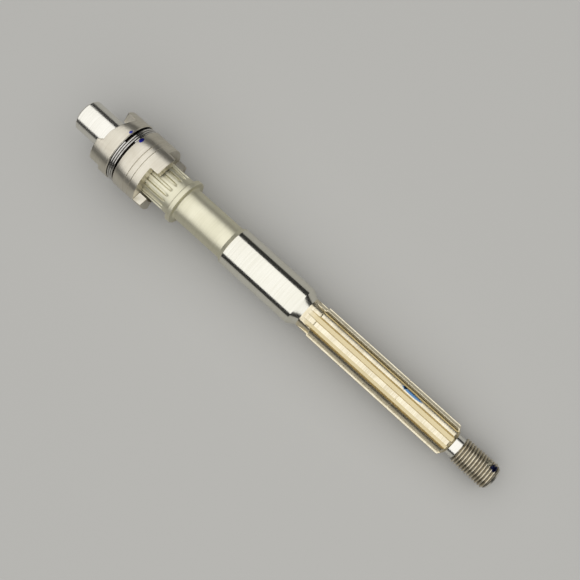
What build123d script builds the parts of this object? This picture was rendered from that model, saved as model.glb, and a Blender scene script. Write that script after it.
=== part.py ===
"""Propeller shaft with its shift clutch, built piece by piece.

Millimetres. The shaft lies along X, its nose towards -X and its nut thread towards +X.
The origin is on the shaft's axis, at the aft shoulder of the bearing journal.
Angles round the axis start at +Z and grow towards -Y, which is a right-handed turn about +X.
"""

import os
from math import acos, cos, degrees, radians, sin, tan

from build123d import *

# Stations along the shaft, from the nose to the nut thread
NOSE_END = -168.5
NOSE_CHAMFER = 1.0
CLUTCH_SPLINE_START = -143.0
CLUTCH_SPLINE_END = -95.8
COLLAR_FRONT = -91.7
COLLAR_WIDTH = 3.2
JOURNAL_FRONT = -51.0
JOURNAL_BLEND = 2.6
CONE_LENGTH = 5.0
NECK_LENGTH = 8.7
PROP_SPLINE_LENGTH = 98.3
UNDERCUT_LENGTH = 4.6
THREAD_LENGTH = 24.5

# Radii along the shaft
NOSE_RADIUS = 10.25
LAND_RADIUS = 12.3
COLLAR_RADIUS = 14.7
COLLAR_EDGE = 0.7
COLLAR_BASE_FILLET = 1.4
BODY_RADIUS = 10.85
JOURNAL_RADIUS = 12.5
NECK_RADIUS = 9.55
PROP_TIP_RADIUS = 10.4
UNDERCUT_RADIUS = 6.4
THREAD_RADIUS = 8.0
THREAD_START_CHAMFER = 0.9
THREAD_END_CHAMFER = 2.6
THREAD_END_RADIUS = 6.1

# Propeller spline
PROP_TEETH = 10
PROP_DEPTH = 1.9
PROP_SPACE = 3.8
PROP_FLANK = 20.0
PROP_CUTTER_RADIUS = 27.0
PROP_PHASE = 27.0
PROP_END_CHAMFER = 2.5
PROP_END_RADIUS = 7.0
GAUGE_GROOVE_STATION = 73.2
GAUGE_GROOVE_WIDTH = 0.5
GAUGE_GROOVE_DEPTH = 0.3

# Clutch spline
CLUTCH_TEETH = 20
CLUTCH_DEPTH = 1.2
CLUTCH_SPACE = 2.1
CLUTCH_FLANK = 20.0
CLUTCH_CUTTER_RADIUS = 8.0
CLUTCH_PHASE = 0.0
SPLINE_PLAY = 0.08
SPLINE_TIP_PLAY = 0.08
SPLINE_ENTRY = 1.3
RELIEF = 1.0

# Bores and slots of the shaft
ROD_BORE_RADIUS = 4.5
ROD_BORE_DEPTH = 32.0
SPRING_BORE_RADIUS = 4.1
SPRING_BORE_END = -92.0
ROD_BORE_CHAMFER = 0.7
COTTER_RADIUS = 1.9
COTTER_FROM_END = 7.8
COTTER_ANGLE = -46.0
SHIFT_TRAVEL = 9.0

# Clutch dog
DOG_FRONT = -146.6
DOG_RADIUS = 19.45
DOG_HUB_LENGTH = 31.5
FRONT_CROWN_RADIUS = 13.0
REAR_CROWN_RADIUS = 13.9
DOG_EDGE = 0.5
FRONT_TOOTH_HEIGHT = 3.2
FRONT_TOOTH_ANGLE = 46.0
FRONT_TOOTH_CENTRE = 39.5
FRONT_RAMP_DEPTH = 3.1
FRONT_RAMP_RUN = 9.0
REAR_TOOTH_HEIGHT = 5.8
REAR_TOOTH_ANGLE = 43.3
REAR_TOOTH_CENTRE = -26.4
DOG_TEETH = 3
RING_GROOVE_FROM_FRONT = 12.9
RING_GROOVE_DEPTH = 1.6
SCRIBE_FROM_GROOVE = (10.7, 14.2)
SCRIBE_DEPTH = 0.25

# Retaining ring, whose close-wound wire is a band here
RING_WIDTH = 5.34
RING_THICKNESS = 1.15
RING_EDGE = 0.35
RING_SIDE_PLAY = 0.08
RING_SEAT_PLAY = 0.03

# Cross pin, spring seat and return spring
PIN_RADIUS = 2.5
PIN_PLAY = 0.05
PIN_ANGLE = 70.0
PIN_END_CHAMFER = 0.4
PIN_END_PLAY = 0.2
SEAT_PLAY = 0.04
SEAT_LENGTH = 11.0
SEAT_NOSE = 1.0
SPRING_WIRE = 0.5
SPRING_PLAY = 0.25
SPRING_END_PLAY = 0.04

# Stations that follow from the sizes above
COLLAR_REAR = COLLAR_FRONT + COLLAR_WIDTH
NECK_START = CONE_LENGTH
NECK_END = NECK_START + NECK_LENGTH
PROP_END = NECK_END + PROP_SPLINE_LENGTH
UNDERCUT_END = PROP_END + UNDERCUT_LENGTH
SHAFT_END = UNDERCUT_END + THREAD_LENGTH
PROP_ROOT_RADIUS = PROP_TIP_RADIUS - PROP_DEPTH
CLUTCH_ROOT_RADIUS = LAND_RADIUS - CLUTCH_DEPTH
GROOVE_FRONT = DOG_FRONT + RING_GROOVE_FROM_FRONT
GROOVE_WIDTH = RING_WIDTH + 2 * RING_SIDE_PLAY
GROOVE_FLOOR = DOG_RADIUS - RING_GROOVE_DEPTH
PIN_STATION = GROOVE_FRONT + GROOVE_WIDTH / 2
DOG_FRONT_FLOOR = DOG_FRONT + FRONT_TOOTH_HEIGHT
DOG_REAR_FLOOR = DOG_FRONT_FLOOR + DOG_HUB_LENGTH
DOG_REAR = DOG_REAR_FLOOR + REAR_TOOTH_HEIGHT
SLOT_HALF_WIDTH = PIN_RADIUS + PIN_PLAY
SEAT_REAR = PIN_STATION + SEAT_LENGTH / 2
STEM_RADIUS = SPRING_BORE_RADIUS - 2 * (SPRING_WIRE + SPRING_PLAY)


def around_axis(count, first_angle):
    """Evenly spaced turns about X, the first at first_angle from +Z towards -Y."""
    return [Rotation(first_angle + 360 * step / count, 0, 0) for step in range(count)]


def space_section(root_radius, tip_radius, width, flank, play=0.0):
    """Section of one tooth space at +Z: straight flanks that open outwards from a narrow floor."""
    depth = tip_radius - root_radius
    floor = width / 2 - depth * tan(radians(flank)) - play
    mouth_height = depth + RELIEF
    mouth = floor + mouth_height * tan(radians(flank))
    with BuildSketch(Plane.YZ) as section:
        with BuildLine():
            Polyline(
                (-floor, root_radius),
                (floor, root_radius),
                (mouth, root_radius + mouth_height),
                (-mouth, root_radius + mouth_height),
                close=True,
            )
        make_face()
    return section.sketch


def space_cutter(section, root_radius, depth, start, end, cutter_radius, leave_at):
    """A tooth space cut from start to end, whose floor runs out along the arc of a disc cutter."""
    length = end - start
    arc_station = end if leave_at == "end" else start
    climb = degrees(acos(1 - (depth + RELIEF) / cutter_radius))
    turn = climb if leave_at == "end" else -climb
    centre = (arc_station, 0, root_radius + cutter_radius)
    with BuildPart() as cutter:
        extrude(section.moved(Location((start, 0, 0))), amount=length)
        add(
            revolve(
                section.moved(Location((arc_station, 0, 0))),
                axis=Axis(centre, (0, 1, 0)),
                revolution_arc=-turn,
                mode=Mode.PRIVATE,
            )
        )
    return cutter.part


def build_shaft():
    """One turned and hobbed shaft, bored from the nose and slotted for the cross pin."""
    with BuildPart() as shaft:
        with BuildSketch(Plane.XY):
            with BuildLine():
                Polyline(
                    (NOSE_END, 0),
                    (NOSE_END, NOSE_RADIUS - NOSE_CHAMFER),
                    (NOSE_END + NOSE_CHAMFER, NOSE_RADIUS),
                    (CLUTCH_SPLINE_START, NOSE_RADIUS),
                    (CLUTCH_SPLINE_START + SPLINE_ENTRY, LAND_RADIUS),
                    (COLLAR_FRONT, LAND_RADIUS),
                    (COLLAR_FRONT, COLLAR_RADIUS - COLLAR_EDGE),
                    (COLLAR_FRONT + COLLAR_EDGE, COLLAR_RADIUS),
                    (COLLAR_REAR - COLLAR_EDGE, COLLAR_RADIUS),
                    (COLLAR_REAR, COLLAR_RADIUS - COLLAR_EDGE),
                    (COLLAR_REAR, BODY_RADIUS + COLLAR_BASE_FILLET),
                )
                RadiusArc(
                    (COLLAR_REAR, BODY_RADIUS + COLLAR_BASE_FILLET),
                    (COLLAR_REAR + COLLAR_BASE_FILLET, BODY_RADIUS),
                    -COLLAR_BASE_FILLET,
                )
                Polyline(
                    (COLLAR_REAR + COLLAR_BASE_FILLET, BODY_RADIUS),
                    (JOURNAL_FRONT - JOURNAL_BLEND, BODY_RADIUS),
                    (JOURNAL_FRONT, JOURNAL_RADIUS),
                    (0, JOURNAL_RADIUS),
                    (NECK_START, NECK_RADIUS),
                    (NECK_END - (PROP_TIP_RADIUS - NECK_RADIUS), NECK_RADIUS),
                    (NECK_END, PROP_TIP_RADIUS),
                    (PROP_END - PROP_END_CHAMFER, PROP_TIP_RADIUS),
                    (PROP_END, PROP_END_RADIUS),
                    (PROP_END, UNDERCUT_RADIUS),
                    (UNDERCUT_END, UNDERCUT_RADIUS),
                    (UNDERCUT_END, THREAD_RADIUS - THREAD_START_CHAMFER),
                    (UNDERCUT_END + THREAD_START_CHAMFER, THREAD_RADIUS),
                    (SHAFT_END - THREAD_END_CHAMFER, THREAD_RADIUS),
                    (SHAFT_END, THREAD_END_RADIUS),
                    (SHAFT_END, 0),
                    (NOSE_END, 0),
                )
            make_face()
        revolve(axis=Axis.X)

        prop_section = space_section(PROP_ROOT_RADIUS, PROP_TIP_RADIUS, PROP_SPACE, PROP_FLANK)
        prop_cutter = space_cutter(
            prop_section,
            PROP_ROOT_RADIUS,
            PROP_DEPTH,
            NECK_END,
            PROP_END + RELIEF,
            PROP_CUTTER_RADIUS,
            "start",
        )
        with Locations(*around_axis(PROP_TEETH, PROP_PHASE)):
            add(prop_cutter, mode=Mode.SUBTRACT)

        clutch_section = space_section(CLUTCH_ROOT_RADIUS, LAND_RADIUS, CLUTCH_SPACE, CLUTCH_FLANK)
        clutch_cutter = space_cutter(
            clutch_section,
            CLUTCH_ROOT_RADIUS,
            CLUTCH_DEPTH,
            CLUTCH_SPLINE_START - RELIEF,
            CLUTCH_SPLINE_END - (2 * CLUTCH_CUTTER_RADIUS * CLUTCH_DEPTH - CLUTCH_DEPTH**2) ** 0.5,
            CLUTCH_CUTTER_RADIUS,
            "end",
        )
        with Locations(*around_axis(CLUTCH_TEETH, CLUTCH_PHASE)):
            add(clutch_cutter, mode=Mode.SUBTRACT)

        with BuildSketch(Plane.XY):
            with Locations((GAUGE_GROOVE_STATION, PROP_TIP_RADIUS)):
                Rectangle(GAUGE_GROOVE_WIDTH, 2 * GAUGE_GROOVE_DEPTH)
        revolve(axis=Axis.X, mode=Mode.SUBTRACT)

        with BuildSketch(Plane.XY):
            with BuildLine():
                Polyline(
                    (NOSE_END, 0),
                    (NOSE_END, ROD_BORE_RADIUS + ROD_BORE_CHAMFER),
                    (NOSE_END + ROD_BORE_CHAMFER, ROD_BORE_RADIUS),
                    (NOSE_END + ROD_BORE_DEPTH, ROD_BORE_RADIUS),
                    (NOSE_END + ROD_BORE_DEPTH, SPRING_BORE_RADIUS),
                    (SPRING_BORE_END, SPRING_BORE_RADIUS),
                    (SPRING_BORE_END + SPRING_BORE_RADIUS / 2, 0),
                    (NOSE_END, 0),
                )
            make_face()
        revolve(axis=Axis.X, mode=Mode.SUBTRACT)

        with BuildSketch(Plane.XY.rotated((PIN_ANGLE, 0, 0))):
            with Locations((PIN_STATION + SHIFT_TRAVEL / 2, 0)):
                SlotCenterToCenter(SHIFT_TRAVEL, 2 * SLOT_HALF_WIDTH)
        extrude(amount=LAND_RADIUS + RELIEF, both=True, mode=Mode.SUBTRACT)

        with BuildSketch(Plane.XY.rotated((COTTER_ANGLE, 0, 0))):
            with Locations((SHAFT_END - COTTER_FROM_END, 0)):
                Circle(COTTER_RADIUS)
        extrude(amount=THREAD_RADIUS + RELIEF, both=True, mode=Mode.SUBTRACT)
    return shaft.part


def gap_sketch(tooth_angle):
    """The sector between two dog teeth, centred on +Z and reaching past the rim."""
    half_gap = radians((360 / DOG_TEETH - tooth_angle) / 2)
    reach = 2 * DOG_RADIUS
    with BuildSketch(Plane.YZ) as sector:
        with BuildLine():
            Polyline(
                (0, 0),
                (-reach * sin(half_gap), reach * cos(half_gap)),
                (reach * sin(half_gap), reach * cos(half_gap)),
                close=True,
            )
        make_face()
    return sector.sketch


def build_clutch_dog():
    """A ring with three dog teeth on each face, a broached bore and a groove for the wire ring."""
    broach_radius = LAND_RADIUS + SPLINE_TIP_PLAY
    with BuildPart() as dog:
        with BuildSketch(Plane.XY):
            with BuildLine():
                Polyline(
                    (DOG_FRONT, FRONT_CROWN_RADIUS),
                    (DOG_FRONT, DOG_RADIUS - DOG_EDGE),
                    (DOG_FRONT + DOG_EDGE, DOG_RADIUS),
                    (GROOVE_FRONT - DOG_EDGE, DOG_RADIUS),
                    (GROOVE_FRONT, DOG_RADIUS - DOG_EDGE),
                    (GROOVE_FRONT, GROOVE_FLOOR),
                    (GROOVE_FRONT + GROOVE_WIDTH, GROOVE_FLOOR),
                    (GROOVE_FRONT + GROOVE_WIDTH, DOG_RADIUS),
                    (DOG_REAR - DOG_EDGE, DOG_RADIUS),
                    (DOG_REAR, DOG_RADIUS - DOG_EDGE),
                    (DOG_REAR, REAR_CROWN_RADIUS),
                    (DOG_REAR_FLOOR, REAR_CROWN_RADIUS),
                    (DOG_REAR_FLOOR, broach_radius),
                    (DOG_REAR_FLOOR - SPLINE_ENTRY, CLUTCH_ROOT_RADIUS),
                    (DOG_FRONT_FLOOR + SPLINE_ENTRY, CLUTCH_ROOT_RADIUS),
                    (DOG_FRONT_FLOOR, broach_radius),
                    (DOG_FRONT_FLOOR, FRONT_CROWN_RADIUS),
                    close=True,
                )
            make_face()
        revolve(axis=Axis.X)

        with BuildSketch(Plane.YZ.offset(DOG_FRONT)):
            Circle(broach_radius)
            blade = space_section(
                CLUTCH_ROOT_RADIUS + SPLINE_TIP_PLAY, LAND_RADIUS, CLUTCH_SPACE, CLUTCH_FLANK, SPLINE_PLAY
            )
            for turn in around_axis(CLUTCH_TEETH, CLUTCH_PHASE):
                add(blade.moved(Location((DOG_FRONT, 0, 0)) * turn), mode=Mode.SUBTRACT)
        extrude(amount=DOG_REAR - DOG_FRONT, mode=Mode.SUBTRACT)

        half_turn = 180 / DOG_TEETH
        front_gap = extrude(
            gap_sketch(FRONT_TOOTH_ANGLE).moved(Location((DOG_FRONT - RELIEF, 0, 0))),
            amount=FRONT_TOOTH_HEIGHT + RELIEF,
            mode=Mode.PRIVATE,
        )
        with Locations(*around_axis(DOG_TEETH, FRONT_TOOTH_CENTRE + half_turn)):
            add(front_gap, mode=Mode.SUBTRACT)
        for tooth in range(DOG_TEETH):
            flank = FRONT_TOOTH_CENTRE + FRONT_TOOTH_ANGLE / 2 + 360 * tooth / DOG_TEETH
            with BuildSketch(Plane.XY.rotated((flank, 0, 0))):
                with BuildLine():
                    Polyline(
                        (DOG_FRONT_FLOOR - RELIEF, 0),
                        (DOG_FRONT_FLOOR + FRONT_RAMP_DEPTH, 0),
                        (DOG_FRONT_FLOOR, -FRONT_RAMP_RUN),
                        (DOG_FRONT_FLOOR - RELIEF, -FRONT_RAMP_RUN),
                        close=True,
                    )
                make_face()
            extrude(amount=DOG_RADIUS + RELIEF, mode=Mode.SUBTRACT)
        rear_gap = extrude(
            gap_sketch(REAR_TOOTH_ANGLE).moved(Location((DOG_REAR_FLOOR, 0, 0))),
            amount=REAR_TOOTH_HEIGHT + RELIEF,
            mode=Mode.PRIVATE,
        )
        with Locations(*around_axis(DOG_TEETH, REAR_TOOTH_CENTRE + half_turn)):
            add(rear_gap, mode=Mode.SUBTRACT)

        with BuildSketch(Plane.XY):
            for offset in SCRIBE_FROM_GROOVE:
                with Locations((GROOVE_FRONT + GROOVE_WIDTH / 2 + offset, DOG_RADIUS)):
                    RegularPolygon(SCRIBE_DEPTH, 4)
        revolve(axis=Axis.X, mode=Mode.SUBTRACT)

        with BuildSketch(Plane.XY.rotated((PIN_ANGLE, 0, 0))):
            with Locations((PIN_STATION, 0)):
                Circle(PIN_RADIUS + PIN_PLAY)
        extrude(amount=DOG_RADIUS, both=True, mode=Mode.SUBTRACT)
    return dog.part


def build_retaining_ring():
    """Band that lies in the dog's groove and covers both ends of the cross pin."""
    inner = GROOVE_FLOOR + RING_SEAT_PLAY
    outer = inner + RING_THICKNESS
    front = GROOVE_FRONT + RING_SIDE_PLAY
    rear = front + RING_WIDTH
    with BuildPart() as ring:
        with BuildSketch(Plane.XY):
            with BuildLine():
                Polyline(
                    (front, inner),
                    (front, outer - RING_EDGE),
                    (front + RING_EDGE, outer),
                    (rear - RING_EDGE, outer),
                    (rear, outer - RING_EDGE),
                    (rear, inner),
                    close=True,
                )
            make_face()
        revolve(axis=Axis.X)
    return ring.part


def build_cross_pin():
    """Straight pin through the dog, the shaft's slot and the spring seat."""
    half_length = GROOVE_FLOOR - PIN_END_PLAY
    with BuildPart() as pin:
        with BuildSketch(Plane.XY.rotated((PIN_ANGLE, 0, 0))):
            with Locations((PIN_STATION, 0)):
                Circle(PIN_RADIUS)
        extrude(amount=half_length, both=True)
        chamfer(pin.edges().filter_by(GeomType.CIRCLE), PIN_END_CHAMFER)
    return pin.part


def build_spring_seat():
    """Short plunger in the spring bore, cross-drilled for the pin, whose stem centres the spring."""
    radius = SPRING_BORE_RADIUS - SEAT_PLAY
    front = PIN_STATION - SEAT_LENGTH / 2
    with BuildPart() as seat:
        with BuildSketch(Plane.XY):
            with BuildLine():
                Polyline(
                    (front, 0),
                    (front, radius - SEAT_NOSE),
                    (front + SEAT_NOSE, radius),
                    (SEAT_REAR, radius),
                    (SEAT_REAR, STEM_RADIUS),
                    (SEAT_REAR + SEAT_NOSE, STEM_RADIUS),
                    (SEAT_REAR + SEAT_NOSE, 0),
                    (front, 0),
                )
            make_face()
        revolve(axis=Axis.X)
        with BuildSketch(Plane.XY.rotated((PIN_ANGLE, 0, 0))):
            with Locations((PIN_STATION, 0)):
                Circle(PIN_RADIUS + PIN_PLAY)
        extrude(amount=SPRING_BORE_RADIUS, both=True, mode=Mode.SUBTRACT)
    return seat.part


def build_return_spring():
    """Sleeve the size of the compression spring between the seat's shoulder and the bore's bottom."""
    outer = SPRING_BORE_RADIUS - SPRING_PLAY
    start = SEAT_REAR + SPRING_END_PLAY
    with BuildPart() as spring:
        with BuildSketch(Plane.YZ.offset(start)):
            Circle(outer)
            Circle(outer - 2 * SPRING_WIRE, mode=Mode.SUBTRACT)
        extrude(amount=SPRING_BORE_END - SPRING_END_PLAY - start)
    return spring.part


PIECES = {
    "shaft": build_shaft,
    "clutch_dog": build_clutch_dog,
    "cross_pin_ring": build_retaining_ring,
    "cross_pin": build_cross_pin,
    "spring_seat": build_spring_seat,
    "return_spring": build_return_spring,
}

os.makedirs("parts", exist_ok=True)
for name, build in PIECES.items():
    piece = build()
    piece.label = name
    export_step(piece, f"parts/{name}.step")
    print(name, "volume", round(piece.volume, 1), "solids", len(piece.solids()))
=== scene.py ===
"""Looks of the splined propeller shaft: its turned and hobbed surfaces, clutch dog, wire ring and finishes.

Sizes are millimetres until a mesh is made. X runs along the shaft from nose to nut thread, and the
origin is at the aft shoulder of the bearing journal. Angles start at +Z and grow towards -Y.
"""

from math import radians

import bpy
import numpy as np
from mathutils import Matrix, Vector


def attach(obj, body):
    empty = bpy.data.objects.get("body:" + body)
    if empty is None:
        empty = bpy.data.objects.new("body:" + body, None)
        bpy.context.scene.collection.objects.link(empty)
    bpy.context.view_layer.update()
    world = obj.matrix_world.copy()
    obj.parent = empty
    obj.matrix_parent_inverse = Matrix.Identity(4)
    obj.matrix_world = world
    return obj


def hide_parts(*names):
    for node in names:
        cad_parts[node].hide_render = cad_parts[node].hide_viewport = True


MM = 0.001
TURN = 2 * np.pi

# Stations along X
NOSE_END = -168.5
LAND_FRONT = -140.5
BORE_STEP = -136.5
FULL_DEPTH_AT = -130.0
DOG_REAR = -106.1
BORE_END = -92.0
COLLAR_FRONT = -91.7
COLLAR_REAR = -88.5
JOURNAL_FRONT = -51.0
NECK_START = 5.0
SPLINE_START = 13.7
TIPS_END = 109.5
SPLINE_END = 112.0
UNDERCUT_END = 116.6
SHAFT_END = 141.1

# Radii
NOSE_RADIUS = 10.25
LAND_RADIUS = 12.3
COLLAR_RADIUS = 14.7
BODY_RADIUS = 10.85
JOURNAL_RADIUS = 12.5
NECK_RADIUS = 9.55
PROP_TIP_RADIUS = 10.4
UNDERCUT_RADIUS = 6.4
ROD_BORE_RADIUS = 4.5
SPRING_BORE_RADIUS = 4.1

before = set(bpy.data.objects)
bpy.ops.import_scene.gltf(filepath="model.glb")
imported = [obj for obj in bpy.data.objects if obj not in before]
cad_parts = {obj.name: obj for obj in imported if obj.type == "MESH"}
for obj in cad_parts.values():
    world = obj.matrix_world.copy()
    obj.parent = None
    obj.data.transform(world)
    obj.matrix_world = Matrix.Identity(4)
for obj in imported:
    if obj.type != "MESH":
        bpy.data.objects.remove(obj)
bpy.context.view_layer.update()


# ---------------------------------------------------------------- surfaces


def grid_mesh(name, x, y, z, close_start=False, close_end=False, ring=False):
    """Mesh of a grid of points: rows run along the first axis, and each row is a closed loop.

    A closed end adds one point at the row's mean and a fan of triangles to it. In a ring the last row
    joins the first.
    """
    rows, around = x.shape
    points = np.stack([x, y, z], axis=-1).reshape(-1, 3) * MM
    row = np.arange(rows if ring else rows - 1)[:, None] * around
    next_row = (row + around) % (rows * around)
    here = np.arange(around)[None, :]
    after = (here + 1) % around
    quads = np.stack([row + here, row + after, next_row + after, next_row + here], axis=-1)
    faces = [list(f) for f in quads.reshape(-1, 4)]
    for wanted, first, flip in ((close_start, 0, True), (close_end, (rows - 1) * around, False)):
        if wanted:
            hub = len(points)
            points = np.vstack([points, points[first : first + around].mean(axis=0)])
            rim = first + np.arange(around)
            next_on_rim = first + (np.arange(around) + 1) % around
            pair = (next_on_rim, rim) if flip else (rim, next_on_rim)
            faces += [list(f) for f in np.stack([pair[0], pair[1], np.full(around, hub)], axis=-1)]
    mesh = bpy.data.meshes.new(name)
    mesh.from_pydata(points.tolist(), [], faces)
    mesh.validate()
    mesh.polygons.foreach_set("use_smooth", np.ones(len(mesh.polygons), dtype=bool))
    mesh.set_sharp_from_angle(angle=radians(32))
    mesh.update()
    thing = bpy.data.objects.new(name, mesh)
    bpy.context.scene.collection.objects.link(thing)
    return thing


def whole_turn(count):
    """Even angles over one turn, without the last."""
    return np.arange(count) * TURN / count


def around_x(x, radius, theta):
    """Points at a radius and an angle round X: the angle starts at +Z and grows towards -Y."""
    return x + 0 * radius, -radius * np.sin(theta), radius * np.cos(theta)


def eased(corners, ease):
    """Profile with each inner corner cut back by ease and bridged by a parabola of five points.

    ease is one length in mm, or a list with one for each inner corner.
    """
    corners = np.array(corners, float)
    at = corners[1:-1]

    def cut_back(other):
        step = other - at
        length = np.linalg.norm(step, axis=1, keepdims=True)
        return at + step * np.minimum(np.reshape(ease, (-1, 1)) / length, 0.45)

    first, last = cut_back(corners[:-2]), cut_back(corners[2:])
    t = np.linspace(0, 1, 5)[None, :, None]
    arcs = (1 - t) ** 2 * first[:, None] + 2 * t * (1 - t) * at[:, None] + t**2 * last[:, None]
    return np.vstack([corners[:1], arcs.reshape(-1, 2), corners[-1:]])


def stepped(profile, step):
    """Stations and radii along straight runs: the profile's points, and more between, at most step apart."""
    along = np.concatenate([[0], np.cumsum(np.linalg.norm(np.diff(profile, axis=0), axis=1))])
    between = np.arange(step, along[-1], step)
    gap = np.abs(between[:, None] - along[None, :]).min(axis=1)
    at = np.union1d(between[gap > step / 3], along)
    return np.interp(at, along, profile[:, 0]), np.interp(at, along, profile[:, 1])


def soft_least(a, b, ease):
    """The lesser of two lengths, with the crossing rounded off over about ease."""
    return np.minimum(a, b) - ease * np.log1p(np.exp(-np.abs(a - b) / ease))


def soft_most(a, b, ease):
    """The greater of two lengths, with the crossing filled in over about ease."""
    return np.maximum(a, b) + ease * np.log1p(np.exp(-np.abs(a - b) / ease))


def tooth_space(x, theta, spline):
    """Radius of the floor and flanks that a disc cutter leaves between teeth.

    The floor is flat at the root radius. Past the arc station it lifts along the cutter's circle. The
    flanks lean out from the floor's edges, and a ray from the axis meets them where its slope and
    theirs agree.
    """
    past = np.clip((x - spline["arc_at"]) * spline["arc_side"], 0, spline["cutter"] * 0.8)
    floor = spline["root"] + spline["cutter"] - np.sqrt(spline["cutter"] ** 2 - past**2)
    pitch = TURN / spline["teeth"]
    off = np.abs((theta - spline["phase"] + pitch / 2) % pitch - pitch / 2)
    lean = np.tan(spline["flank"])
    flank = (floor * lean - spline["half_floor"]) / np.maximum(lean - np.tan(off), 0.01)
    return soft_most(floor, flank, spline["fillet"]) / np.cos(off)


def tooth_turns(spline, tip_radius, counts=(3, 8, 5)):
    """Angles round the axis, gathered where the flanks stand."""
    pitch = TURN / spline["teeth"]
    rise = tip_radius - spline["root"]
    low = spline["half_floor"] / spline["root"] * 0.8
    high = (spline["half_floor"] + rise * np.tan(spline["flank"])) / tip_radius * 1.12
    half = np.interp(np.arange(sum(counts)), np.cumsum([0, *counts]), [0, low, high, pitch / 2])
    offsets = np.concatenate([[-pitch / 2], -half[:0:-1], half])
    return (spline["phase"] + pitch * np.arange(spline["teeth"])[:, None] + offsets[None, :]).ravel()


PROPELLER_SPLINE = {
    "teeth": 10,
    "phase": radians(27),
    "root": 8.5,
    "half_floor": 1.21,
    "flank": radians(20),
    "fillet": 0.12,
    "cutter": 27.0,
    "arc_at": SPLINE_START,
    "arc_side": -1,
}
CLUTCH_SPLINE = {
    "teeth": 20,
    "phase": 0.0,
    "root": 11.1,
    "half_floor": 0.61,
    "flank": radians(20),
    "fillet": 0.1,
    "cutter": 8.0,
    "arc_at": -100.01,
    "arc_side": 1,
}


def lathe(name, profile, step=3.0, theta=None, shape=None, close_start=False, close_end=False):
    """Surface of revolution of a profile, whose radius shape(x, theta, radius) may then change."""
    theta = whole_turn(144) if theta is None else theta
    x, radius = stepped(profile, step)
    x, radius = x[:, None] + 0 * theta[None, :], radius[:, None] + 0 * theta[None, :]
    angle = theta[None, :] + 0 * x
    if shape:
        radius = shape(x, angle, radius)
    return grid_mesh(name, *around_x(x, radius, angle), close_start, close_end)


def nose():
    """Ground front end with its blind bore, drawn from the bore's floor out and back along the journal."""
    profile = eased(
        [(BORE_END, 2.0), (BORE_END, SPRING_BORE_RADIUS), (BORE_STEP, SPRING_BORE_RADIUS),
         (BORE_STEP, ROD_BORE_RADIUS), (-167.8, ROD_BORE_RADIUS), (NOSE_END, 5.2), (NOSE_END, 9.25),
         (-167.5, NOSE_RADIUS), (-143, NOSE_RADIUS), (-141.7, LAND_RADIUS), (LAND_FRONT, LAND_RADIUS)],
        0.12,
    )
    return lathe("shaft_nose", profile, close_start=True)


def clutch_spline():
    """Splined land in front of the thrust collar, with grooves that run out before it."""
    profile = eased(
        [(LAND_FRONT, LAND_RADIUS), (-138, LAND_RADIUS), (COLLAR_FRONT, LAND_RADIUS), (COLLAR_FRONT, 14.0)],
        0.15,
    )
    return lathe(
        "shaft_clutch_spline", profile, 0.5, tooth_turns(CLUTCH_SPLINE, LAND_RADIUS),
        lambda x, a, r: soft_least(r, tooth_space(x, a, CLUTCH_SPLINE), 0.04),
    )


def collar_and_body():
    """Thrust collar, matte turned body and the cone up to the bearing journal."""
    profile = eased(
        [(COLLAR_FRONT, 13.0), (COLLAR_FRONT, COLLAR_RADIUS), (COLLAR_REAR, COLLAR_RADIUS),
         (COLLAR_REAR, BODY_RADIUS), (-53.6, BODY_RADIUS), (-51.2, 12.45), (JOURNAL_FRONT, JOURNAL_RADIUS)],
        [0.7, 0.7, 1.4, 0.2, 0.1],
    )
    return lathe("shaft_body", profile)


def journal():
    """Ground bearing journal and the cone behind it, down to the spline's neck."""
    profile = eased(
        [(JOURNAL_FRONT, JOURNAL_RADIUS), (-50.5, JOURNAL_RADIUS), (0, JOURNAL_RADIUS),
         (NECK_START, NECK_RADIUS)],
        0.15,
    )
    return lathe("shaft_journal", profile)


def propeller_spline():
    """Neck, ten straight-sided teeth cut by a hob that runs out on the neck, gauge groove and end face."""
    profile = eased(
        [(NECK_START, NECK_RADIUS), (13.2, NECK_RADIUS), (SPLINE_START, PROP_TIP_RADIUS),
         (72.95, PROP_TIP_RADIUS), (73.05, 10.1), (73.35, 10.1), (73.45, PROP_TIP_RADIUS),
         (TIPS_END, PROP_TIP_RADIUS), (SPLINE_END, 7.0), (SPLINE_END, UNDERCUT_RADIUS)],
        0.12,
    )
    return lathe(
        "shaft_propeller_spline", profile, 0.9, tooth_turns(PROPELLER_SPLINE, PROP_TIP_RADIUS),
        lambda x, a, r: soft_least(r, tooth_space(x, a, PROPELLER_SPLINE), 0.05),
    )


THREAD_PITCH = 1.83
THREAD_RADIUS = 8.0
THREAD_DEPTH = 1.0
CREST_SHARE = 0.2
SLOPE_SHARE = 0.6
COTTER_AT = 133.3
COTTER_ANGLE = radians(-46)
COTTER_RADIUS = 1.9
COTTER_FLOOR_SHARE = 0.25


def vee_thread(x, angle, radius):
    """Thread rubbed flat at its crests: crest and root a fifth of a pitch wide, advancing one pitch a turn.

    The cross hole is sunk into both sides where the distance from the hole's axis is under its radius.
    """
    place = (x / THREAD_PITCH - angle / TURN) % 1
    from_crest = np.abs(place - 0.5) * 2
    vee = THREAD_RADIUS - THREAD_DEPTH * np.clip((from_crest - CREST_SHARE) / SLOPE_SHARE, 0, 1)
    threaded = np.where(x > UNDERCUT_END + 0.15, np.minimum(radius, vee), radius)
    side = (angle - COTTER_ANGLE) % np.pi
    side = np.minimum(side, np.pi - side)
    from_axis = np.hypot(x - COTTER_AT, threaded * np.sin(side))
    return np.where(from_axis < COTTER_RADIUS, COTTER_FLOOR_SHARE * threaded, threaded)


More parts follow.
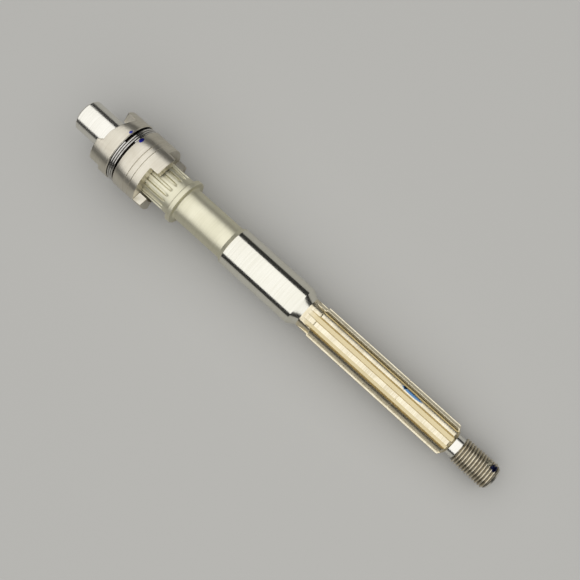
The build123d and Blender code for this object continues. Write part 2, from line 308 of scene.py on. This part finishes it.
def nut_thread():
    """Undercut, then the nut thread with its chamfers and end face."""
    profile = eased(
        [(SPLINE_END, UNDERCUT_RADIUS), (SPLINE_END + 1, UNDERCUT_RADIUS), (UNDERCUT_END, UNDERCUT_RADIUS),
         (UNDERCUT_END + 0.3, 7.0), (UNDERCUT_END + 1.2, THREAD_RADIUS), (138.5, THREAD_RADIUS),
         (SHAFT_END, 6.1), (SHAFT_END, 1.0)],
        0.1,
    )
    near = COTTER_ANGLE + np.linspace(-0.28, 0.28, 57)
    theta = np.unique(np.round(np.concatenate([whole_turn(224), near % TURN, (near + np.pi) % TURN]), 4))
    return lathe("shaft_nut_thread", profile, 0.12, theta, vee_thread, close_end=True)


DOG_RADIUS = 19.45
FRONT_FLOOR = -143.4
REAR_FLOOR = -111.9
GROOVE = (-133.7, -128.2)
GROOVE_FLOOR = 17.85
BROACH_RADIUS = 12.38
BROACH_PLAY = 0.08
LUGS = 3
LUG_FRONT = {"centre": radians(39.5), "half": radians(23), "ease": 1.0, "root": 1.4, "height": 3.2}
LUG_REAR = {"centre": radians(-26.4), "half": radians(21.65), "ease": 1.0, "root": 0.5, "height": 5.8}
LUG_MEAN_RADIUS = 16.5
LUG_FLOOR_SHARE = 0.004
RAMP_DEPTH = 4.0
RAMP_TURN = radians(53.5)


def lug_height(theta, lug):
    """Share of full height over the three lugs: the flank stands upright between two quarter circles.

    The outer one rounds the lug's top edge, and the other fills the corner at the floor. The floor keeps
    a very small share.
    """
    off = np.abs((theta - lug["centre"] + TURN / LUGS / 2) % (TURN / LUGS) - TURN / LUGS / 2)
    inside = (lug["half"] - off) * LUG_MEAN_RADIUS
    short = lug["ease"] - np.clip(inside, 0, lug["ease"])
    drop = lug["ease"] - np.sqrt(lug["ease"] ** 2 - short**2)
    near = np.clip(inside + lug["root"], 0, lug["root"])
    fill = lug["root"] - np.sqrt(lug["root"] ** 2 - near**2)
    return np.where(inside > 0, 1 - drop / lug["height"], LUG_FLOOR_SHARE + fill / lug["height"])


def front_ramp(theta):
    """Depth in mm below the front floor: greatest at each trailing flank, falling evenly with the turn."""
    past = (theta - LUG_FRONT["centre"] - LUG_FRONT["half"]) % (TURN / LUGS)
    return RAMP_DEPTH * np.clip(1 - past / RAMP_TURN, 0, 1)


def clutch_dog():
    """Ring with three lugs on each face, drawn as one closed path.

    The path leaves the bore over the front face, runs back along the outside and comes in over the rear.
    Each point of the path has a station, a radius, and how far it follows the front or the rear lugs.
    """
    edges = np.array([lug["centre"] + sign * lug["half"] + k * TURN / LUGS
                      for lug in (LUG_FRONT, LUG_REAR) for sign in (-1, 1) for k in range(LUGS)])
    inward = np.array([sign for lug in (LUG_FRONT, LUG_REAR) for sign in (1, -1) for k in range(LUGS)])
    outside_flank = [-0.085, -0.06, -0.04, -0.024, -0.011, -0.0012]
    near = np.array([*outside_flank, 0.0004, 0.006, 0.014, 0.026, 0.042, 0.061])
    flanks = (edges[:, None] + inward[:, None] * near[None, :]).ravel() % TURN
    broach = tooth_turns(CLUTCH_SPLINE, LAND_RADIUS, (2, 4, 2)) % TURN
    theta = np.unique(np.round(np.concatenate([flanks, broach, whole_turn(180)]), 5))
    theta = theta[np.concatenate([[True], np.diff(theta) > 0.0008])]

    groove_front, groove_rear = GROOVE
    middle = (groove_front + groove_rear) / 2
    outside = [
        (groove_front - 0.5, DOG_RADIUS), (groove_front, DOG_RADIUS - 0.45), (groove_front, GROOVE_FLOOR),
        (groove_rear, GROOVE_FLOOR), (groove_rear, DOG_RADIUS - 0.05), (groove_rear + 0.1, DOG_RADIUS),
        (middle + 10.45, DOG_RADIUS), (middle + 10.7, DOG_RADIUS - 0.25), (middle + 10.95, DOG_RADIUS),
        (middle + 13.95, DOG_RADIUS), (middle + 14.2, DOG_RADIUS - 0.25), (middle + 14.45, DOG_RADIUS),
    ]
    front = [(-127, BROACH_RADIUS), (FRONT_FLOOR + 1.3, BROACH_RADIUS), (FRONT_FLOOR, BROACH_RADIUS),
             (FRONT_FLOOR, 13.0)]
    front_lug = [(FRONT_FLOOR, 13.0), (FRONT_FLOOR, 13.3), (FRONT_FLOOR, DOG_RADIUS - 0.5),
                 (FRONT_FLOOR, DOG_RADIUS - 0.15), (FRONT_FLOOR + 0.5, DOG_RADIUS)]
    rear_lug = [(REAR_FLOOR - 0.5, DOG_RADIUS), (REAR_FLOOR, DOG_RADIUS - 0.15),
                (REAR_FLOOR, DOG_RADIUS - 0.5), (REAR_FLOOR, 14.2), (REAR_FLOOR, 13.9)]
    rear = [(REAR_FLOOR, 13.9), (REAR_FLOOR, BROACH_RADIUS), (REAR_FLOOR - 1.3, BROACH_RADIUS)]
    path = np.array(front + front_lug + outside + rear_lug + rear)
    counts = np.cumsum([0, len(front), len(front_lug), len(outside), len(rear_lug), len(rear)])
    index = np.arange(len(path))
    front_follow = ((index >= counts[1]) & (index < counts[2]))[:, None]
    rear_follow = ((index >= counts[3]) & (index < counts[4]))[:, None]

    x = path[:, :1] + 0 * theta[None, :]
    radius = path[:, 1:] + 0 * x
    angle = theta[None, :] + 0 * x
    x = x - front_follow * LUG_FRONT["height"] * lug_height(angle, LUG_FRONT)
    x = x + ((index > 0) & (index < counts[2]))[:, None] * front_ramp(angle)
    x = x + rear_follow * LUG_REAR["height"] * lug_height(angle, LUG_REAR)
    full_depth = tooth_space(np.full_like(angle, FULL_DEPTH_AT), angle, CLUTCH_SPLINE)
    blades = np.minimum(BROACH_RADIUS, full_depth + BROACH_PLAY)
    in_bore = ((index < 2) | (index == len(path) - 1))[:, None]
    radius = np.where(in_bore, blades, radius)
    return grid_mesh("dog_ring", *around_x(x, radius, angle), ring=True)


def wire_ring():
    """Wire wound in the dog's groove: a circle of the wire's radius carried along a helix round X."""
    wire, pitch, turns, first = 0.58, 1.36, 2.97, radians(-9)
    from_wall, from_floor = 0.08, 0.03
    along = np.linspace(0, turns * TURN, 400)[:, None]
    section = np.linspace(0, TURN, 14, endpoint=False)[None, :]
    x = GROOVE[0] + from_wall + wire + pitch * along / TURN + wire * np.cos(section)
    radius = GROOVE_FLOOR + from_floor + wire + wire * np.sin(section) + 0 * along
    return grid_mesh("dog_wire_ring", *around_x(x, radius, first + along + 0 * section), True, True)


# ---------------------------------------------------------------- finishes


def linear(code):
    """Linear colour with full alpha from an sRGB hex value such as "C8C4B8"."""
    srgb = np.array([int(code[i : i + 2], 16) for i in (0, 2, 4)]) / 255
    low = srgb <= 0.04045
    return (*np.where(low, srgb / 12.92, ((srgb + 0.055) / 1.055) ** 2.4).tolist(), 1.0)


def add(tree, kind, settings, inputs):
    """Adds a node with its settings; an input that is a socket is linked, and any other is set."""
    node = tree.nodes.new(kind)
    for key, value in settings.items():
        setattr(node, key, value)
    for key, value in inputs.items():
        if isinstance(value, bpy.types.NodeSocket):
            tree.links.new(value, node.inputs[key])
        else:
            node.inputs[key].default_value = value
    return node


def steel(name, pale, dark, rough, line, depth, patch, share=0.5, marks=(), valley=None):
    """Bare machined steel with tool lines round X and patches of tone.

    line and patch are widths in mm and depth is the lines' height in mm. share is how much of the tone
    follows the lines. Each mark is ink: a centre, half sizes along X, Y and Z in mm, and a colour.
    valley is a low and a high radius in mm and the colour that the surface takes below them.
    """
    material = bpy.data.materials.new(name)
    material.use_nodes = True
    tree = material.node_tree
    tree.nodes.clear()
    place = add(tree, "ShaderNodeTexCoord", {}, {}).outputs["Object"]
    drawn_out = add(tree, "ShaderNodeMapping", {}, {"Vector": place, "Scale": (1000 / line, 35, 35)})
    lines = add(tree, "ShaderNodeTexNoise", {}, {"Vector": drawn_out.outputs[0], "Scale": 1.0, "Detail": 3.0})
    patches = add(tree, "ShaderNodeTexNoise", {}, {"Vector": place, "Scale": 1000 / patch, "Detail": 5.0})
    line_tone = add(tree, "ShaderNodeMath", {"operation": "MULTIPLY"}, {0: lines.outputs["Fac"], 1: share})
    tone = add(tree, "ShaderNodeMath", {"operation": "MULTIPLY_ADD"},
               {0: patches.outputs["Fac"], 1: 1 - share, 2: line_tone.outputs[0]})
    tone = add(tree, "ShaderNodeMapRange", {}, {"Value": tone.outputs[0], "From Min": 0.3, "From Max": 0.7})
    colour = add(tree, "ShaderNodeMix", {"data_type": "RGBA"},
                 {0: tone.outputs[0], 6: linear(pale), 7: linear(dark)}).outputs[2]
    roughness = add(tree, "ShaderNodeMapRange", {},
                    {"Value": tone.outputs[0], "To Min": rough[0], "To Max": rough[1]}).outputs[0]
    if valley:
        low, high, valley_colour = valley
        across = add(tree, "ShaderNodeVectorMath", {"operation": "MULTIPLY"}, {0: place, 1: (0, 1, 1)})
        from_axis = add(tree, "ShaderNodeVectorMath", {"operation": "LENGTH"}, {0: across.outputs[0]})
        bare = add(tree, "ShaderNodeMapRange", {},
                   {"Value": from_axis.outputs["Value"], "From Min": low * MM, "From Max": high * MM})
        colour = add(tree, "ShaderNodeMix", {"data_type": "RGBA"},
                     {0: bare.outputs[0], 6: linear(valley_colour), 7: colour}).outputs[2]
    for centre, half, ink in marks:
        near = add(tree, "ShaderNodeVectorMath", {"operation": "SUBTRACT"},
                   {0: place, 1: [c * MM for c in centre]})
        near = add(tree, "ShaderNodeVectorMath", {"operation": "DIVIDE"},
                   {0: near.outputs[0], 1: [h * MM for h in half]})
        reach = add(tree, "ShaderNodeVectorMath", {"operation": "LENGTH"}, {0: near.outputs[0]})
        ragged = add(tree, "ShaderNodeMath", {"operation": "MULTIPLY_ADD"},
                     {0: patches.outputs["Fac"], 1: 0.8, 2: reach.outputs["Value"]})
        cover = add(tree, "ShaderNodeMapRange", {},
                    {"Value": ragged.outputs[0], "From Min": 1.45, "From Max": 1.25})
        colour = add(tree, "ShaderNodeMix", {"data_type": "RGBA"},
                     {0: cover.outputs[0], 6: colour, 7: linear(ink)}).outputs[2]
    bump = add(tree, "ShaderNodeBump", {}, {"Height": lines.outputs["Fac"], "Distance": depth * MM})
    shader = add(tree, "ShaderNodeBsdfPrincipled", {},
                 {"Base Color": colour, "Metallic": 1.0, "Roughness": roughness, "Normal": bump.outputs[0]})
    add(tree, "ShaderNodeOutputMaterial", {}, {"Surface": shader.outputs[0]})
    return material


def on_side(x, degrees, radius):
    """Point in mm at a station, an angle from +Z towards -Y, and a radius."""
    return x, -radius * np.sin(radians(degrees)), radius * np.cos(radians(degrees))


# Ground steel: a wheel leaves lines of some 0.1 mm, drawn at 0.5 mm to show, and a near-mirror between.
GROUND = steel("ground_steel", "E6E4DC", "D9D6CC", (0.19, 0.23), 0.5, 0.0004, 18, 0.5)
# Polished journal: the same wheel, with shallower lines and a smoother ground, so the studio shows in it.
POLISHED = steel("polished_journal_steel", "E2E0D6", "D5D2C4", (0.14, 0.18), 0.6, 0.0003, 24, 0.5)
# Turned and phosphate-washed steel: matte, pale and slightly green, with feed lines drawn at 0.6 mm.
TURNED = steel("turned_matte_steel", "DEDAC4", "CFCBB3", (0.42, 0.48), 0.6, 0.003, 12, 0.45)
# Hobbed steel: cutter ticks across the teeth, a warm tint that is darker between them, and ink.
HOBBED = steel("hobbed_steel", "ECE4CD", "CBC0A4", (0.2, 0.28), 0.7, 0.002, 8, 0.5,
               [(on_side(78, -29, 10.4), (7.2, 1.0, 0.9), "5F86B0"),
                (on_side(73.2, -33, 10.4), (1.1, 1.0, 1.0), "1B2433")], (8.5, 9.7, "C9BB96"))
# Cut thread: warm steel, near-black in the roots, and a patch of ink.
THREADED = steel("cut_thread_steel", "E6DFCC", "B9AF99", (0.3, 0.4), 0.9, 0.002, 5, 0.35,
                 [(on_side(136.8, -44, 8), (2.1, 2.6, 2.6), "1E2452")], (6.9, 7.35, "2A231B"))
# Case-hardened dog: satin, a warm grey that is paler in patches, with dabs of inspection ink.
HARDENED = steel("case_hardened_steel", "D6D1C3", "BFB8A8", (0.3, 0.34), 0.7, 0.001, 10, 0.4,
                 [(on_side(-134.9, -28, 19.4), (0.9, 1.6, 1.2), "4A4E96"),
                  (on_side(-127.2, -30, 19.4), (1.1, 2.3, 1.6), "2B2F9E")])
# Painted shade on the floor of the wire's groove, standing in for the shadow that falls there: nearly black
# and glossy.
PAINTED_GROOVE_SHADE = steel("painted_shade_groove_steel", "2B2720", "0F0D0B", (0.14, 0.24), 0.6, 0.001, 3, 0.4)
# Oiled music wire: grey, with a clear narrow gloss on each turn.
WIRE = steel("oiled_spring_wire", "CFCDC8", "A3A09A", (0.12, 0.18), 1.2, 0.0004, 3, 0.3)
# Ground pin stock, for the pin and the seat, which are hidden.
PIN = steel("ground_pin_steel", "C9C7C1", "A5A29A", (0.2, 0.32), 0.5, 0.002, 6, 0.5)


# ---------------------------------------------------------------- pieces


def second_finish(piece, finish, chosen):
    """Gives another finish to the faces whose centre, as a station and a radius in mm, is chosen."""
    piece.data.materials.append(finish)
    for face in piece.data.polygons:
        x, y, z = face.center / MM
        if chosen(x, np.hypot(y, z)):
            face.material_index = 1


for make, finish in (
    (nose, GROUND),
    (clutch_spline, TURNED),
    (collar_and_body, TURNED),
    (journal, POLISHED),
    (propeller_spline, HOBBED),
    (nut_thread, THREADED),
):
    piece = make()
    piece.data.materials.append(finish)
    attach(piece, "shaft")
    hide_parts("shaft")
    if make is nut_thread:
        # Its undercut and the wall of its cross hole are bright metal.
        second_finish(piece, GROUND, lambda x, radius: radius < 6.8)

dog = clutch_dog()
dog.data.materials.append(HARDENED)
# Painted shade: the floor of the wire's groove gets the near-black finish that stands in for its shadow.
second_finish(dog, PAINTED_GROOVE_SHADE, lambda x, radius: GROOVE[0] <= x <= GROOVE[1] and 17 < radius < DOG_RADIUS - 0.3)
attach(dog, "dog")
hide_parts("clutch_dog")

wire = wire_ring()
wire.data.materials.append(WIRE)
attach(wire, "dog")
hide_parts("cross_pin_ring")

for node, finish in (("cross_pin", PIN), ("spring_seat", PIN), ("return_spring", WIRE)):
    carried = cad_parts[node]
    carried.data.materials.clear()
    carried.data.materials.append(finish)


# ---------------------------------------------------------------- studio

# The shaft rests on the dog's rear rim and on the ends of the propeller spline, so the table slopes.
table_slope = np.arctan2(DOG_RADIUS - PROP_TIP_RADIUS, TIPS_END - DOG_REAR)
TABLE_REACH = 3
TABLE_GAP = 0.0001
table_material = bpy.data.materials.new("pale_matte_table")
table_material.use_nodes = True
matte = table_material.node_tree.nodes["Principled BSDF"]
matte.inputs["Base Color"].default_value = linear("AFAEAA")
matte.inputs["Roughness"].default_value = 0.85
table_mesh = bpy.data.meshes.new("table")
table_corners = [(TABLE_REACH * x, TABLE_REACH * y, 0) for x, y in ((-1, -1), (1, -1), (1, 1), (-1, 1))]
table_mesh.from_pydata(table_corners, [], [(0, 1, 2, 3)])
table = bpy.data.objects.new("table", table_mesh)
table.matrix_world = (
    Matrix.Translation(Vector((DOG_REAR * MM, 0, -DOG_RADIUS * MM - TABLE_GAP)))
    @ Matrix.Rotation(-table_slope, 4, "Y")
)
table_mesh.materials.append(table_material)
bpy.context.scene.collection.objects.link(table)

world = bpy.data.worlds.new("studio_air")
bpy.context.scene.world = world
world.use_nodes = True
world.node_tree.nodes["Background"].inputs["Color"].default_value = linear("D8DADC")
# The wall behind is seen pale, but the steel mirrors a dark room.
seen = add(world.node_tree, "ShaderNodeLightPath", {}, {}).outputs["Is Camera Ray"]
strength = add(world.node_tree, "ShaderNodeMapRange", {}, {"Value": seen, "To Min": 0.04, "To Max": 0.6})
world.node_tree.links.new(strength.outputs[0], world.node_tree.nodes["Background"].inputs["Strength"])


def softbox(name, place, aim, size, power):
    """Rectangular lamp at a place in metres that faces the aim point."""
    lamp = bpy.data.lights.new(name, "AREA")
    lamp.shape = "RECTANGLE"
    lamp.size, lamp.size_y = size
    lamp.energy = power
    holder = bpy.data.objects.new(name, lamp)
    way = Vector(aim) - Vector(place)
    turn = way.to_track_quat("-Z", "Y").to_matrix().to_4x4()
    holder.matrix_world = Matrix.Translation(Vector(place)) @ turn
    bpy.context.scene.collection.objects.link(holder)


softbox("overhead_softbox", (0, -0.12, 0.62), (0, -0.12, 0), (2.4, 2.5), 24)

# Camera: the turns are about X, then Y, of the view, after the shaft's own turn about Z.
camera_data = bpy.data.cameras.new("camera")
camera_data.sensor_width = 36
camera_data.lens = 53.11
camera = bpy.data.objects.new("camera", camera_data)
view_turn = (
    Matrix.Rotation(-0.090, 4, "Y") @ Matrix.Rotation(-0.082, 4, "X") @ Matrix.Rotation(-0.729, 4, "Z")
)
camera.matrix_world = Matrix.Translation(Vector((0.04823, 0.00245, 0.47891))) @ view_turn.transposed()
bpy.context.scene.collection.objects.link(camera)
bpy.context.scene.camera = camera
bpy.context.scene.view_settings.view_transform = "Standard"
